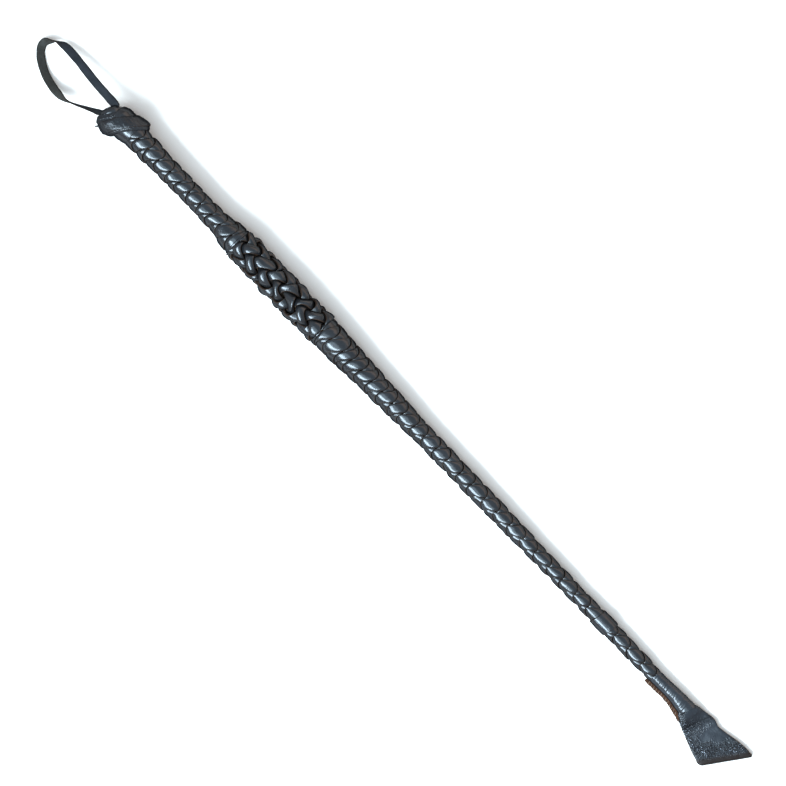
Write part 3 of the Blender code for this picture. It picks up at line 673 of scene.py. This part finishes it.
def lathed(name, profile, offset=(0, 0), crumple=0.25 * MM, slant=0.0):
    """A wrinkled closed dome round the shaft; profile is a list of (place, radius) in mm."""
    angle = np.linspace(0, 2 * math.pi, 96, endpoint=False)[None, :]
    profile = np.array(profile)
    lengths = np.concatenate(([0], np.cumsum(np.hypot(*np.diff(profile, axis=0).T))))
    spots = np.linspace(0, lengths[-1], 30)
    u = np.interp(spots, lengths, profile[:, 0])[:, None] * MM
    r = np.interp(spots, lengths, profile[:, 1])[:, None] * MM
    fine = waves(31, 9, 10 * MM, 2 * MM)
    wrinkle = crumple * fine(u * 2, angle * 3) * np.clip(r / (5 * MM), 0, 1)
    r = np.maximum(r + wrinkle, 0.1 * MM) + 0 * angle
    lean = slant * np.sin(angle) * r / profile[0, 1] / MM
    rings = to_world(np.stack((
        u + 0.5 * wrinkle + lean, offset[0] + r * np.sin(angle), offset[1] + r * np.cos(angle),
    ), axis=-1))
    return swept(name, rings, {"rim": 0 * r, "dip_shade": 0 * r})


# The knot's turns, in mm: name, place from the band's middle, radius, width, thickness, offset
# in y and z, slant, crumple, taper, CAD node.
KNOT_TURNS = [
    ("knot_over", 0.0, 14.0, 9.4, 2.8, (-1.0, -1.15), 8.0, 0.10, -0.7, "knot_band"),
    ("knot_edge", 5.6, 12.5, 4.0, 3.6, (-1.0, -1.15), 7.4, 0.16, 1.2, "knot_edge_lace"),
    ("knot_gather", -5.6, 11.0, 6.6, 3.4, (-2.2, -0.8), 6.6, 0.42, -1.0, None),
    ("knot_start", -9.4, 8.6, 4.8, 2.6, (-2.6, -0.3), 4.2, 0.40, -0.9, "loop_wrap"),
]
# Outlines of the knot's end and of its hidden middle, in mm: (place, radius).
KNOT_DOME = [
    (-270.0, 7.8), (-273.6, 7.6), (-275.8, 6.6), (-276.9, 5.0), (-277.3, 2.8), (-277.4, 0.1),
]
KNOT_NECK = [
    (-251.2, 8.9), (-253.5, 9.6), (-258.0, 10.6), (-266.0, 10.4), (-270.0, 8.6), (-270.5, 7.0),
]
# Path of the cut end of the knot's lace: u, y, z in mm and roll in degrees.
KNOT_TAIL = [
    (-269.5, -10.6, 0.6, 10), (-271.0, -12.0, 0.6, 10), (-272.4, -13.3, 0.8, 12),
    (-274.2, -15.2, 0.6, 20),
]


def make_knot():
    band = float(to_shaft(box_middle("knot_band"))[0])
    seed = 60
    for name, place, radius, width, thick, offset, slant, crumple, taper, node in KNOT_TURNS:
        piece = wound_ring(
            name, band + place * MM, radius * MM, width * MM, thick * MM,
            (offset[0] * MM, offset[1] * MM), slant * MM, seed=seed, rough=0.3 * MM,
            crumple=crumple * MM, taper=taper * MM, square=2.6, points=36, steps=190,
            swell=0.12)
        dress(piece, KNOT_LACE, "crop", "lace_leather", *([node] if node else []))
        seed += 7
    piece = lathed(
        "knot_cap", KNOT_DOME, offset=(-1.0 * MM, 0.0), crumple=0.35 * MM, slant=2.6 * MM)
    dress(piece, LACE, "crop", "lace_leather")
    dress(lathed("knot_core", KNOT_NECK), LACE, "crop", "lace_leather", "knot_foundation")
    piece = strap("knot_tip_end", KNOT_TAIL, 3.0 * MM, 1.1 * MM, steps=14, point=0.25)
    dress(piece, LACE, "crop", "lace_leather", "knot_tail")


def make_bands():
    """The collar between handle and grip, and the lace band near the tip."""
    collar = float(to_shaft(box_middle("grip_collar"))[0])
    piece = wound_ring(
        "handle_collar", collar, 10.6 * MM, 2.2 * MM, 2.0 * MM, rough=0.15 * MM, square=2.2)
    dress(piece, LACE, "crop", "lace_leather", "grip_collar")
    band = float(to_shaft(box_middle("tip_band"))[0])
    piece = wound_ring(
        "tip_band_wrap", band, 6.5 * MM, 13.0 * MM, 0.95 * MM, slant=0.9 * MM, rough=0.12 * MM,
        seed=90, crumple=0.06 * MM, square=5.0, points=40)
    dress(piece, LACE, "crop", "lace_leather", "tip_band")


# ---- straps --------------------------------------------------------------------------

def smooth_path(stations, count):
    """Evenly spaced points and rolls on a smooth curve through (u, y, z, roll) stations."""
    known = np.array(stations, dtype=float)
    extended = np.vstack((2 * known[0] - known[1], known, 2 * known[-1] - known[-2]))
    share = np.linspace(0, 1, 24, endpoint=False)[:, None]
    parts = []
    for spot in range(1, len(extended) - 2):
        p0, p1, p2, p3 = extended[spot - 1:spot + 3]
        parts.append(0.5 * (
            2 * p1 + (p2 - p0) * share + (2 * p0 - 5 * p1 + 4 * p2 - p3) * share ** 2
            + (3 * p1 - p0 - 3 * p2 + p3) * share ** 3))
    dense = np.vstack((*parts, known[-1:]))
    gaps = np.linalg.norm(np.diff(dense[:, :3], axis=0), axis=1)
    travelled = np.concatenate(([0], np.cumsum(gaps)))
    wanted = np.linspace(0, travelled[-1], count)
    columns = [np.interp(wanted, travelled, dense[:, column]) for column in range(4)]
    return np.stack(columns[:3], axis=-1) * MM, np.radians(columns[3])


def strap(name, stations, width, thick, steps, cup=0.0, point=1.0):
    """A flat strap along a path, narrowing to point at its end; roll 0 faces up."""
    middle, roll = smooth_path(stations, steps)
    along = unit(np.gradient(middle, axis=0))
    side = unit(np.cross((0.0, 0.0, 1.0), along))
    lift = np.cross(along, side)
    turn_cos, turn_sin = np.cos(roll)[:, None], np.sin(roll)[:, None]
    across, face = side * turn_cos + lift * turn_sin, lift * turn_cos - side * turn_sin
    spread, depth = ring_section(points=24, square=4.5)
    length = np.linalg.norm(np.diff(middle, axis=0), axis=1).sum()
    travelled = np.linspace(0, 1, steps) * length
    edge = waves(41, 7, 30 * MM, 6 * MM)
    narrow = np.linspace(1, point, steps)[:, None]
    half = 0.5 * width * narrow * (1 + 0.05 * edge(travelled, 0.0)[:, None])
    out = spread[None, :] * half
    rise = (0.5 - depth)[None, :] * thick * (1 - 0.35 * (spread ** 8)[None, :])
    uneven = 0.10 * MM * edge(travelled[:, None], 2 * spread[None, :])
    rise = rise + cup * (spread ** 2)[None, :] + uneven
    shifted = out[..., None] * across[:, None, :] + rise[..., None] * face[:, None, :]
    rim = np.abs(spread)[None, :] + 0 * out
    flesh = np.repeat((depth > 0.5).astype(float)[None, :], steps, axis=0)
    fields = {"rim": rim, "flesh": flesh, "dip_shade": 0 * rim}
    return swept(name, to_world(middle[:, None, :] + shifted), fields)


# Path of the wrist strap, from one hidden end in the knot round to the other: u from the
# hinge, y and z from the shaft's axis in mm, and roll in degrees.
STRAP_PATH = [
    (20.5, 4.6, 0, -90), (8.0, 4.6, 0.3, -90), (6.0, 4.8, 1.4, -42), (4.0, 4.9, 1.5, -10),
    (0.7, 5.0, 0.5, 0),
    (-2.5, 5.1, -0.4, 0), (-17, 5.8, -3.6, 0), (-36, 7.6, -8.2, 3), (-48, 8.0, -11.4, 18),
    (-54.5, 6.4, -12.4, 70), (-57.4, 4.4, -12.7, 95), (-61.2, 0.2, -14.3, 150),
    (-60.4, -4.4, -15.4, 168), (-56.6, -8.6, -15.5, 172), (-50.4, -12.6, -14.9, 170),
    (-42.6, -15.8, -13.5, 170), (-33.6, -17.6, -11.2, 176), (-29.5, -17.8, -10.0, 196),
    (-25.6, -17.5, -8.6, 226), (-20.2, -16.6, -6.5, 264), (-14, -14.0, -4.3, 284),
    (-7, -10.4, -2.0, 294), (-2.2, -8.0, -0.6, 306),
    (0.7, -6.6, 0, 315), (2.4, -5.3, 0, 305), (4.5, -4.8, 0, 290), (7.5, -4.6, 0, 270),
    (20.5, -4.6, 0, 270),
]


def make_wrist_strap():
    hinge = to_shaft(np.array(joint_place("loop_swing")))[0] / MM
    stations = [(hinge + u, y, z, roll) for u, y, z, roll in STRAP_PATH]
    piece = strap("wrist_strap", stations, 6.0 * MM, 1.2 * MM, steps=220, cup=-0.12 * MM)
    dress(piece, STRAP, None, "strap_leather", "wrist_loop", "loop_end_upper", "loop_end_lower")
    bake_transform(piece)


# ---- the tip -------------------------------------------------------------------------

def leather_sheet(name, grid, thick, fields):
    """A sheet of leather of even thickness about a grid of points, with rounded long edges."""
    along = np.gradient(grid, axis=0)
    across = np.gradient(grid, axis=1)
    normal = unit(np.cross(along, across))
    out = unit(across)
    half = 0.5 * thick
    upper = grid + normal * half
    lower = grid - normal * half
    first = grid[:, :1] - out[:, :1] * half * 0.8
    last = grid[:, -1:] + out[:, -1:] * half * 0.8
    rings = np.concatenate((first, upper, last, lower[:, ::-1]), axis=1)
    spread = {}
    for key, values in fields.items():
        values = values + np.zeros(grid.shape[:2])
        ends = values[:, :1], values, values[:, -1:], values[:, ::-1]
        spread[key] = np.concatenate(ends, axis=1)
    return swept(name, rings, spread)


def cord_tube(name, stations, radius, steps):
    """A twisted thread along a path."""
    middle, _ = smooth_path(stations, steps)
    along = unit(np.gradient(middle, axis=0))
    side = unit(np.cross(along, (0.3, 0.2, 1.0)))
    lift = np.cross(along, side)
    angle = np.linspace(0, 2 * math.pi, 8, endpoint=False)[None, :, None]
    twist = 1 + 0.14 * np.cos(2 * angle + np.linspace(0, 0.9 * steps, steps)[:, None, None])
    rings = middle[:, None, :] + radius * twist * (
        np.cos(angle) * side[:, None, :] + np.sin(angle) * lift[:, None, :])
    return swept(name, to_world(rings), {})


# Sections of the sleeve: place, reach to +Y, reach to -Y, half height, reach of the seam.
SLEEVE_SECTIONS = np.array([
    (256.4, 4.7, 4.9, 4.95, 7.0), (258.5, 4.8, 4.8, 4.9, 7.2), (263.5, 5.0, 4.7, 4.7, 7.0),
    (270.5, 5.4, 4.4, 4.5, 6.5), (277.5, 5.8, 4.7, 4.4, 7.0), (283.0, 6.0, 5.6, 4.3, 8.3),
    (289.6, 6.3, 6.3, 4.2, 10.2),
]) * MM
SLEEVE_WALL = 0.9 * MM
SEAM_MOUTH = 160             # degrees from the far side to where the seam begins
SEAM_LEVEL = 0.62 * MM       # half the distance between the seam's two layers
SEAM_FRAY = 0.34 * MM        # how ragged the seam's raw edge is
CRINKLE = (0.26 * MM, 0.12 * MM)     # height of the crinkles, and what comes on top at the flap


def make_sleeve():
    """A leather wrap whose long edges meet in a flat seam down one side."""
    known = SLEEVE_SECTIONS
    places = np.linspace(known[0, 0], known[-1, 0], 120)[:, None]
    right, left, height, seam = (
        np.interp(places, known[:, 0], known[:, column]) for column in (1, 2, 3, 4))
    half = 0.5 * SLEEVE_WALL
    wide = 0.5 * (right + left) - half
    shift = wide + half - left
    high = height - half
    # The round part, with its crinkles.
    angle = np.radians(np.linspace(-SEAM_MOUTH, SEAM_MOUTH, 72))[None, :] + 0 * places
    place = places + 0 * angle
    crinkle = waves(75, 12, 14 * MM, 1.1 * MM)
    soft = waves(77, 5, 30 * MM, 8 * MM)
    worn = CRINKLE[0] + CRINKLE[1] * grow(place, 276 * MM, 10 * MM)
    push = worn * crinkle(place + 1.2 * MM * np.cos(angle), 2 * angle)
    push = push + 0.14 * MM * soft(place, angle)
    push = push * np.clip((math.radians(SEAM_MOUTH) - np.abs(angle)) / 0.5, 0, 1)
    tube = np.stack(
        (place, shift + (wide + push) * np.cos(angle), -(high + push) * np.sin(angle)), axis=-1)
    # The two layers of the seam.
    reach = np.linspace(1, 0, 9)[:-1][None, :]
    near = shift - wide * 0.97
    fray = SEAM_FRAY * waves(71, 9, 8 * MM, 0.9 * MM)(places, 0.0)
    y = near - (seam + near + fray) * reach
    level = SEAM_LEVEL * (1 - 0.35 * reach) + 0 * y
    layer_up = np.stack((places + 0 * y, y, level), axis=-1)
    layer_low = np.stack((places + 0 * y, y - 0.3 * fray * reach, -level), axis=-1)
    grid = np.concatenate((layer_up, tube, layer_low[:, ::-1]), axis=1)
    # Both ends are cut at a slant; below the shaft the far one reaches on along the flap.
    flat_y = grid[..., 1].copy()
    at_flap = grow(grid[..., 0], 274 * MM, 15 * MM)
    at_shaft = grow(grid[..., 0], 268 * MM, -11 * MM)
    below = np.clip(-4.5 * MM - flat_y, 0, None)
    grid[..., 0] += (0.35 * (flat_y + below) + 0.5 * below) * at_flap + 0.30 * flat_y * at_shaft
    raw = grow(-flat_y, left - 0.9 * MM, 1.5 * MM)
    piece = leather_sheet("sleeve_wrap", to_world(grid), SLEEVE_WALL, {"rim": raw, "dip_shade": 0.0})
    dress(piece, SLEEVE, "crop", "strap_leather", "sleeve")


# The stitching, in mm.
STITCHES = 13
STITCH_START = 256.6
STITCH_LENGTH = 30.0
STITCH_LEAN = 0.35           # how far each turn of the thread leans along the seam
STITCH_HALF = 1.25           # half the size of each turn
STITCH_INSET = 0.9           # the turns' middle, in from the seam's edge
THREAD_RADIUS = 0.22 * MM


def make_stitching():
    """A thread wound over the raw edge of the sleeve's seam."""
    steps = 12 * STITCHES
    points = []
    for step in range(steps + 1):
        share = step / steps
        around = 2 * math.pi * share * STITCHES
        spot = STITCH_START + STITCH_LENGTH * share
        edge = np.interp(spot * MM, SLEEVE_SECTIONS[:, 0], SLEEVE_SECTIONS[:, 4]) / MM
        points.append((
            spot + STITCH_LEAN * math.sin(around),
            -edge + STITCH_INSET + STITCH_HALF * math.cos(around),
            STITCH_HALF * math.sin(around), 0))
    piece = cord_tube("sleeve_whip_stitch", points, THREAD_RADIUS, steps=26 * STITCHES)
    dress(piece, STITCH, "crop", "thread", "sleeve_stitching")


# Plan of the flap, in mm: u along the shaft and y from its axis.
UPPER_EDGE = [
    (263, 3.0), (275, 3.3), (283, 3.8), (288.5, 4.6), (293.3, 6.4), (300.1, 7.6), (304.5, 8.3),
    (307.2, 8.5), (310.4, 7.5), (313.2, 6.9), (320, 7.9), (325.7, 9.0), (331.4, 9.9),
    (337, 10.3), (342.3, 9.9),
]
LOWER_EDGE = [
    (263, -3.0), (275, -3.3), (283, -3.9), (287.0, -6.8), (291.0, -9.2), (296.6, -11.8),
    (302.0, -13.9), (308.0, -16.2), (315.0, -18.6), (321.6, -20.3),
]
CORNERS = (2.2 * MM, 1.1 * MM)       # radii of the far corners, at the lower and upper edge
CORNER_REACH = 60 * MM               # what the corners cut off is a share of this length
FLAP_WALL = 1.3 * MM
FOLD_HALF = 1.0 * MM                 # half the distance between the two layers at the fold
ROOT_HALF = 2.35 * MM                # the same at the root, inside the sleeve
FLATTENING = (289.3 * MM, 11.7 * MM)     # where the root starts to flatten, and over what length
SWELL = 0.38 * MM                    # how much the upper layer puckers
VALLEY = (-0.55 * MM, -1.6 * MM, 1.5 * MM)   # depth, place past the crease, and width
RIDGE = (0.45 * MM, 2.6 * MM, 2.2 * MM)
BLADE_LIFT = 0.25 * MM               # how far the upper layer stands off the lower one
EDGE_WORN = 0.9 * MM                 # width of the brown along the long edges


def edge_curve(points, count):
    curve, _ = smooth_path([(u, y, 0.0, 0.0) for u, y in points], count)
    return curve[:, :2]


def flap_plan(rows, columns):
    """The flap from above, root to fold and lower to upper edge, and its greatest width."""
    upper = edge_curve(UPPER_EDGE, rows)
    lower = edge_curve(LOWER_EDGE, rows)
    widths = np.linalg.norm(upper - lower, axis=1)
    share = np.linspace(0, 1, columns)
    plan = lower[:, None, :] + (upper - lower)[:, None, :] * share[None, :, None]
    # The far corners are rounded off.
    corner = np.where(share < 0.5, *CORNERS)
    inset = np.clip(corner - widths[-1] * np.minimum(share, 1 - share), 0, None)
    trim = 1 - (corner - np.sqrt(corner ** 2 - inset ** 2)) / CORNER_REACH
    row = np.arange(rows)
    for column in range(columns):
        for axis in (0, 1):
            line = plan[:, column, axis]
            plan[:, column, axis] = np.interp(row * trim[column], row, line)
    return plan, share, widths.max()


def past_crease(u, y):
    """How far a point lies beyond the flap's crease, along the shaft."""
    return u - CREASE[0] - CREASE_TAN * (y - CREASE[1])


def flap_shape(plan, share):
    """The leather's middle, from the root over the fold and back below, and the fold's line."""
    place = plan[..., 0]
    start, length = FLATTENING
    flat = grow(place, start, length)
    flat = flat ** 2 * (3 - 2 * flat)
    top = to_world(np.stack((place, plan[..., 1], 0 * place), axis=-1))
    low = top.copy()
    level = top[..., 2] * (1 - flat) + (FOLD_HALF + 0.5 * FLAP_WALL) * flat
    open_half = ROOT_HALF * (1 - flat) + FOLD_HALF * flat
    across = np.abs(2 * share - 1)[None, :]
    layer = open_half * np.sqrt(np.clip(1 - across ** (2.0 + 26 * flat ** 2), 0.0, 1))
    least = (0.5 * FLAP_WALL + 0.06 * MM) * np.clip(flat * 1.5, 0, 1)
    layer = np.maximum(layer, least)
    blade = grow(place, 300 * MM, 6 * MM) * (1 - grow(place, 331 * MM, 10 * MM))
    swell = SWELL * waves(81, 8, 40 * MM, 7 * MM)(place, 6 * share[None, :]) * blade
    beyond = past_crease(place, plan[..., 1])
    creases = sum(height * hill(beyond, spot, width) for height, spot, width in (VALLEY, RIDGE))
    top[..., 2] = level + layer + swell + creases + BLADE_LIFT * blade
    low[..., 2] = level - layer
    # The fold: a half turn about the slanted far end.
    outward = unit((top[-1] - top[-4]) * (1, 1, 0))
    base = 0.5 * (top[-1] + low[-1])
    up = np.array((0.0, 0.0, 1.0))
    bend = [
        base + FOLD_HALF * (math.cos(turn) * up + math.sin(turn) * outward)
        for turn in np.linspace(0, math.pi, 15)[1:-1]]
    return np.concatenate((top, np.array(bend), low[::-1]), axis=0), base


def flap_fields(grid, base, share, widest):
    """Where the leather is worn at its edges, folded, pebbled with painted glints and painted
    shade, and creased with painted shade beside the crease.
    """
    fold = np.clip(1.35 - np.linalg.norm(grid - base[None, :, :], axis=-1) / (4.0 * MM), 0, 1)
    inward = 0.5 * (1 - np.abs(2 * share - 1))[None, :] * widest
    rim = np.clip(1 - inward / EDGE_WORN, 0, 1)
    u, y = to_shaft(grid)[..., 0], to_shaft(grid)[..., 1]
    share = share[None, :]
    # Painted shade: the valley just before the crease is darkened.
    dip_shade = 0.75 * hill(past_crease(u, y), -2.6 * MM, 2.4 * MM) * np.clip(share * 2 + 0.1, 0, 1)
    # The pebbles, with their painted glints and the painted shade between them, stand out near
    # the fold, along the lower edge and where the blade starts.
    patches = waves(85, 6, 26 * MM, 7 * MM)(u, 5 * y / (20 * MM))
    near_fold = grow(u - 0.744 * y, 317 * MM, 9 * MM)
    near_low = hill(share, 0.0, 0.2)
    near_start = hill(u, 300 * MM, 7 * MM) * (1 - share)
    grain = 0.9 * near_fold + 0.8 * near_low + 0.8 * near_start + 0.30 * patches
    grain = np.clip(grain, 0.02, 1) * (1 - fold)
    return {"rim": rim, "fold": fold, "grain": grain, "dip_shade": dip_shade}


def make_flap():
    """One leather, wrapped on the rod, flattened, and folded back under itself."""
    plan, share, widest = flap_plan(130, 56)
    grid, base = flap_shape(plan, share)
    piece = leather_sheet("flap_leather", grid, FLAP_WALL, flap_fields(grid, base, share, widest))
    dress(piece, FLAP, None, "flap_leather", "flap", "flap_root")
    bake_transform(piece)


# ---- floor, light, camera ------------------------------------------------------------

FLOOR_SIZE = 24.0
FLOOR_LEVEL = -0.0002        # just under the crop, so that the two never share a surface
HORIZON = (0.84, 0.70, 0.62, 1.0)
SKY = (0.66, 0.84, 1.0, 1.0)
SKY_PLACE = 0.75             # height on the sky where its colour is reached
SKY_STRENGTH = 0.92
LIGHTS = [
    # name, place, size, power, colour
    ("key", (0.0, -0.72, 0.86), (1.3, 0.40), 50.0, (0.68, 0.86, 1.0)),
    ("fill", (0.0, 0.95, 0.42), (1.6, 0.5), 3.4, (1.0, 0.74, 0.58)),
    ("haze", (0.0, -0.30, 1.2), (1.5, 0.6), 10.0, (0.64, 0.84, 1.0)),
]


def make_floor():
    bpy.ops.mesh.primitive_plane_add(size=FLOOR_SIZE, location=(0, 0, FLOOR_LEVEL))
    floor = bpy.context.object
    floor.name = "floor"
    n = Nodes("pale_floor")
    pale = n.ramp(n.noise(30), (0.3, (0.74, 0.665, 0.60)), (0.7, (0.76, 0.685, 0.62)))
    n.set(Base_Color=pale, Roughness=0.9, Specular_IOR_Level=0.1)
    floor.data.materials.append(n.material)


def make_sky():
    """A soft studio sky, warm at the horizon and blue above."""
    world = bpy.data.worlds.new("studio")
    world.use_nodes = True
    tree = world.node_tree
    background = tree.nodes["Background"]
    spot = tree.nodes.new("ShaderNodeTexCoord")
    split = tree.nodes.new("ShaderNodeSeparateXYZ")
    ramp = tree.nodes.new("ShaderNodeValToRGB")
    horizon, sky = ramp.color_ramp.elements
    horizon.position = 0.0
    horizon.color = HORIZON
    sky.position = SKY_PLACE
    sky.color = SKY
    tree.links.new(spot.outputs["Generated"], split.inputs[0])
    tree.links.new(split.outputs["Z"], ramp.inputs["Fac"])
    tree.links.new(ramp.outputs["Color"], background.inputs["Color"])
    background.inputs["Strength"].default_value = SKY_STRENGTH
    bpy.context.scene.world = world
    bpy.context.scene.view_settings.view_transform = "Standard"


def make_lights():
    for name, place, size, power, colour in LIGHTS:
        light = bpy.data.lights.new(name, "AREA")
        light.shape = "RECTANGLE"
        light.size, light.size_y = size
        light.energy = power
        light.color = colour
        lamp = bpy.data.objects.new(name, light)
        lamp.location = place
        inward = Vector((0, 0, 0)) - Vector(place)
        lamp.rotation_euler = inward.to_track_quat("-Z", "Y").to_euler()
        bpy.context.scene.collection.objects.link(lamp)


SENSOR_WIDTH = 36.0          # in mm, as is the lens
LENS = 110.0
VIEW_WIDTH = 0.536           # width of floor that the picture shows
CAMERA_TURN = math.radians(46.1)
CAMERA_OFFSET = (-4.8 * MM, 5.0 * MM)


def make_camera():
    """Looks straight down, with the shaft running from upper left to lower right."""
    camera = bpy.data.cameras.new("camera")
    camera.sensor_width = SENSOR_WIDTH
    camera.lens = LENS
    camera.clip_start = 0.01
    eye = bpy.data.objects.new("camera", camera)
    eye.location = (
        CAMERA_OFFSET[0], ORIGIN[1] + CAMERA_OFFSET[1], LENS / SENSOR_WIDTH * VIEW_WIDTH)
    eye.rotation_euler = (0.0, 0.0, CAMERA_TURN)
    bpy.context.scene.collection.objects.link(eye)
    bpy.context.scene.camera = eye


def dress_hidden_nodes():
    """The CAD nodes that stay get their own finish."""
    looks = {
        "core_rod": ROD, "handle_filler": FILLER, "grip_filler": FILLER, "shaft_filler": FILLER,
        "butt_whipping": THREAD, "tip_whipping": THREAD,
    }
    for name, material in looks.items():
        node = frame["nodes"][name]
        if not node.material_slots:
            node.data.materials.append(material)
        for slot in node.material_slots:
            slot.material = material


make_plaits()
make_knot()
make_bands()
make_wrist_strap()
make_sleeve()
make_stitching()
make_flap()
dress_hidden_nodes()
make_floor()
make_sky()
make_lights()
make_camera()
